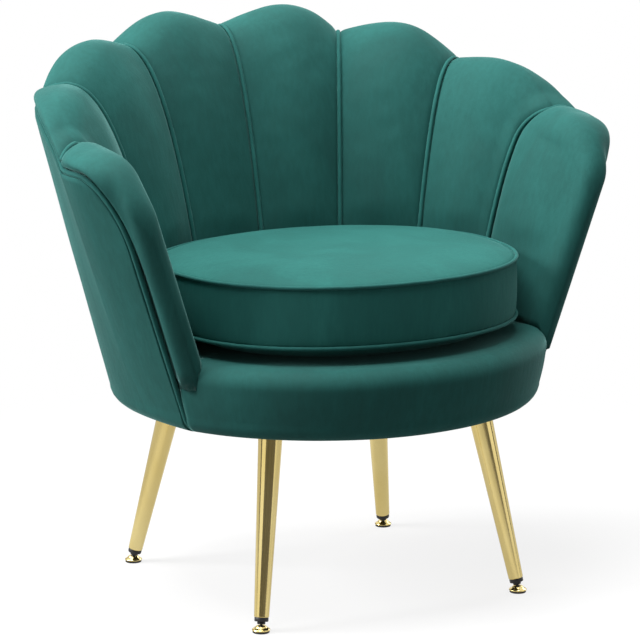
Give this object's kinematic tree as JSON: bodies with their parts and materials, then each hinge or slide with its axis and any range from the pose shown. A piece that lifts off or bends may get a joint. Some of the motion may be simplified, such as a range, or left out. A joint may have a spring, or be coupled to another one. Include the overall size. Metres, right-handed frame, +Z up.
{
  "type": "scallop back chair",
  "caption": "Barrel armchair in green velvet with a channelled scallop back, a loose round seat cushion and splayed gold legs on levelling glides",
  "frame": {"origin": "centre of the plan on the floor", "axes": "+X to the sitter's left hand, which is the viewer's right when looking at the front; the chair faces -Y; +Z up"},
  "size_m": [0.7972, 0.638, 0.7568],
  "materials": {
    "velvet": "short-pile teal green velvet with a soft sheen",
    "piping": "the same velvet sewn over a cord",
    "gold": "polished gold plating",
    "black_plastic": "moulded black plastic",
    "frame_wood": "plain sawn plywood and softwood",
    "spring_steel": "drawn steel wire",
    "lining": "thin black non-woven cloth"
  },
  "bodies": {
    "frame": {"pad_left_4": "velvet", "pad_left_3": "velvet", "pad_left_2": "velvet", "pad_left_1": "velvet", "pad_right_1": "velvet", "pad_right_2": "velvet", "pad_right_3": "velvet", "pad_right_4": "velvet", "outer_cover": "velvet", "seat_base_cover": "velvet", "welt_left_3": "piping", "welt_left_2": "piping", "welt_left_1": "piping", "welt_centre": "piping", "welt_right_1": "piping", "welt_right_2": "piping", "welt_right_3": "piping", "outer_cover_piping": "piping", "back_rib_left_outer": "frame_wood", "back_rib_left_inner": "frame_wood", "back_rib_right_inner": "frame_wood", "back_rib_right_outer": "frame_wood", "seat_rail_front": "frame_wood", "seat_rail_back": "frame_wood", "seat_rail_left": "frame_wood", "seat_rail_right": "frame_wood", "corner_block_front_left": "frame_wood", "corner_block_front_right": "frame_wood", "corner_block_rear_left": "frame_wood", "corner_block_rear_right": "frame_wood", "back_top_rail": "frame_wood", "seat_spring_1": "spring_steel", "seat_spring_2": "spring_steel", "seat_spring_3": "spring_steel", "seat_spring_4": "spring_steel", "dust_cover": "lining", "leg_front_left": "gold", "collar_front_left": "black_plastic", "leg_front_right": "gold", "collar_front_right": "black_plastic", "leg_rear_left": "gold", "collar_rear_left": "black_plastic", "leg_rear_right": "gold", "collar_rear_right": "black_plastic"},
    "cushion": {"seat_cushion": "velvet", "cushion_piping_top": "piping", "cushion_piping_bottom": "piping"},
    "stem_front_left": {"glide_stem_front_left": "black_plastic"},
    "foot_front_left": {"glide_disc_front_left": "gold", "glide_pad_front_left": "black_plastic"},
    "stem_front_right": {"glide_stem_front_right": "black_plastic"},
    "foot_front_right": {"glide_disc_front_right": "gold", "glide_pad_front_right": "black_plastic"},
    "stem_rear_left": {"glide_stem_rear_left": "black_plastic"},
    "foot_rear_left": {"glide_disc_rear_left": "gold", "glide_pad_rear_left": "black_plastic"},
    "stem_rear_right": {"glide_stem_rear_right": "black_plastic"},
    "foot_rear_right": {"glide_disc_rear_right": "gold", "glide_pad_rear_right": "black_plastic"}
  },
  "joints": [
    {"name": "cushion_lift", "type": "slide", "parent": "frame", "child": "cushion", "axis": [0, 0, 1], "range_m": [0, 0.42]},
    {"name": "glide_travel_front_left", "type": "slide", "parent": "frame", "child": "stem_front_left", "axis": [-0.1516, -0.1798, -0.9719], "range_m": [0, 0.0101]},
    {"name": "glide_turn_front_left", "type": "hinge", "parent": "stem_front_left", "child": "foot_front_left", "pos_m": [-0.19591, -0.21471, 0.007], "axis": [0, 0, 1], "range_deg": [0, 2880]},
    {"name": "glide_travel_front_right", "type": "slide", "parent": "frame", "child": "stem_front_right", "axis": [0.1516, -0.1798, -0.9719], "range_m": [0, 0.0101]},
    {"name": "glide_turn_front_right", "type": "hinge", "parent": "stem_front_right", "child": "foot_front_right", "pos_m": [0.19591, -0.21471, 0.007], "axis": [0, 0, 1], "range_deg": [0, 2880]},
    {"name": "glide_travel_rear_left", "type": "slide", "parent": "frame", "child": "stem_rear_left", "axis": [-0.1672, 0.1943, -0.9666], "range_m": [0, 0.0101]},
    {"name": "glide_turn_rear_left", "type": "hinge", "parent": "stem_rear_left", "child": "foot_rear_left", "pos_m": [-0.20079, 0.16859, 0.007], "axis": [0, 0, 1], "range_deg": [0, 2880]},
    {"name": "glide_travel_rear_right", "type": "slide", "parent": "frame", "child": "stem_rear_right", "axis": [0.1672, 0.1943, -0.9666], "range_m": [0, 0.0101]},
    {"name": "glide_turn_rear_right", "type": "hinge", "parent": "stem_rear_right", "child": "foot_rear_right", "pos_m": [0.20079, 0.16859, 0.007], "axis": [0, 0, 1], "range_deg": [0, 2880]}
  ],
  "couplings": [
    {"joint": "glide_travel_front_left", "follows": "glide_turn_front_left", "m_per_rad": 0.00019894},
    {"joint": "glide_travel_front_right", "follows": "glide_turn_front_right", "m_per_rad": 0.00019894},
    {"joint": "glide_travel_rear_left", "follows": "glide_turn_rear_left", "m_per_rad": 0.00019894},
    {"joint": "glide_travel_rear_right", "follows": "glide_turn_rear_right", "m_per_rad": 0.00019894}
  ]
}
